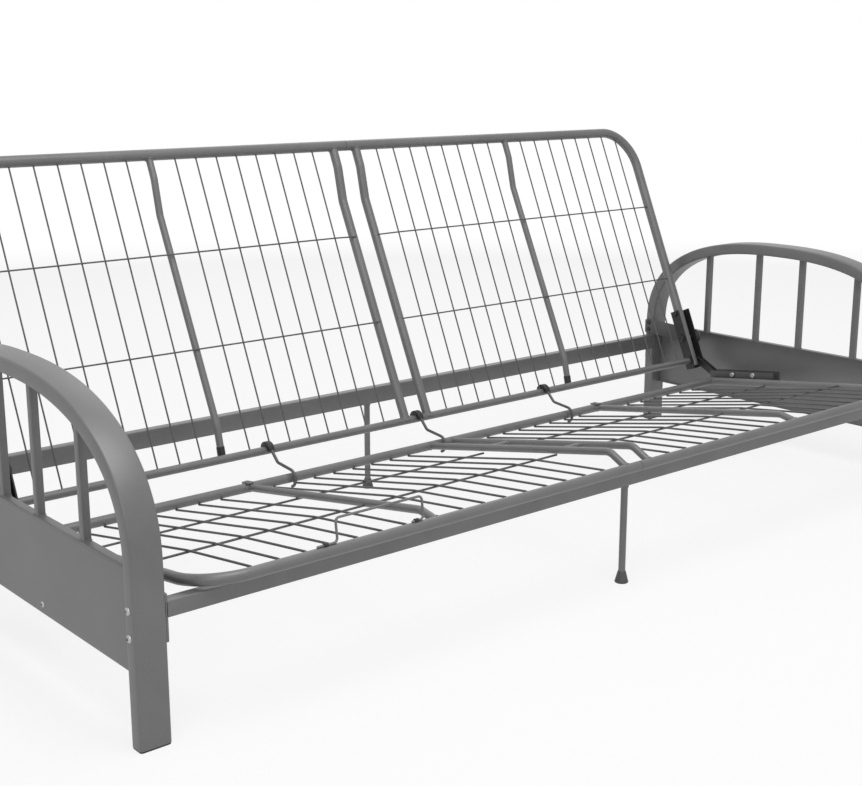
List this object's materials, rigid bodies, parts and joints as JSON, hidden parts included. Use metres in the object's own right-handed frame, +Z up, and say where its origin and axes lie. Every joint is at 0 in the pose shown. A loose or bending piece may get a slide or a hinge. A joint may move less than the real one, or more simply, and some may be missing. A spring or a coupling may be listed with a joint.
{
  "type": "futon sofa bed frame",
  "caption": "Metal futon sofa bed frame with arched tube arms, wire-mesh seat and back, and a fold-flat hinge, shown without a mattress.",
  "frame": {"origin": "on the floor under the centre of the bounding box", "axes": "+X to the sitter's left when seated, which is the right of someone facing the front; the front faces -Y; +Z up"},
  "size_m": [1.987, 0.8823, 0.7608],
  "materials": {
    "coated_tube": "satin gunmetal powder coat on steel tube",
    "coated_sheet": "satin gunmetal powder coat on pressed steel sheet",
    "coated_wire": "satin gunmetal powder coat on welded wire",
    "black_steel": "black powder coat on pressed steel and rod",
    "zinc_steel": "bright zinc-plated bolts",
    "glide_plastic": "moulded black polyethylene"
  },
  "bodies": {
    "frame": {"arm_tube_left": "coated_tube", "arm_panel_left": "coated_sheet", "arm_spindle_left_1": "coated_tube", "arm_spindle_left_2": "coated_tube", "arm_spindle_left_3": "coated_tube", "arm_spindle_left_4": "coated_tube", "leg_glide_left_front": "glide_plastic", "leg_glide_left_rear": "glide_plastic", "hinge_plate_left": "black_steel", "pivot_bolt_left": "zinc_steel", "arm_tube_right": "coated_tube", "arm_panel_right": "coated_sheet", "arm_spindle_right_1": "coated_tube", "arm_spindle_right_2": "coated_tube", "arm_spindle_right_3": "coated_tube", "arm_spindle_right_4": "coated_tube", "leg_glide_right_front": "glide_plastic", "leg_glide_right_rear": "glide_plastic", "hinge_plate_right": "black_steel", "pivot_bolt_right": "zinc_steel", "front_rail": "coated_tube", "rear_rail": "coated_tube", "front_center_leg": "coated_tube", "rear_center_leg": "coated_tube"},
    "back": {"back_outer_tube_left": "coated_tube", "back_lower_tube_left": "coated_tube", "back_mid_tube_left": "coated_tube", "back_inner_tube_left": "coated_tube", "back_wire_mesh_left": "coated_wire", "back_channel_left": "black_steel", "back_outer_tube_right": "coated_tube", "back_lower_tube_right": "coated_tube", "back_mid_tube_right": "coated_tube", "back_inner_tube_right": "coated_tube", "back_wire_mesh_right": "coated_wire", "back_channel_right": "black_steel"},
    "links": {"side_link_left": "black_steel", "side_link_right": "black_steel", "s_hook_left": "black_steel", "s_hook_center": "black_steel", "s_hook_right": "black_steel"},
    "seat": {"seat_outer_tube_left": "coated_tube", "seat_rear_tube_left": "coated_tube", "seat_mid_tube_left": "coated_tube", "seat_inner_tube_left": "coated_tube", "seat_wire_mesh_left": "coated_wire", "seat_channel_left": "black_steel", "seat_outer_tube_right": "coated_tube", "seat_rear_tube_right": "coated_tube", "seat_mid_tube_right": "coated_tube", "seat_inner_tube_right": "coated_tube", "seat_wire_mesh_right": "coated_wire", "seat_channel_right": "black_steel", "seat_mattress_retainer": "coated_tube"}
  },
  "joints": [
    {"name": "back_fold", "type": "hinge", "parent": "frame", "child": "back", "pos_m": [0, 0.20999, 0.24696], "axis": [-1, 0, 0], "range_deg": [0, 66.35]},
    {"name": "link_swing", "type": "hinge", "parent": "back", "child": "links", "pos_m": [0, 0.18633, 0.19292], "axis": [1, 0, 0], "range_deg": [0, 39.35]},
    {"name": "seat_tilt", "type": "hinge", "parent": "links", "child": "seat", "pos_m": [0, 0.11032, 0.15419], "axis": [1, 0, 0], "range_deg": [0, 34.79]}
  ],
  "couplings": [
    {"joint": "link_swing", "follows": "back_fold", "ratio": 0.59306},
    {"joint": "seat_tilt", "follows": "back_fold", "ratio": 0.52434}
  ]
}
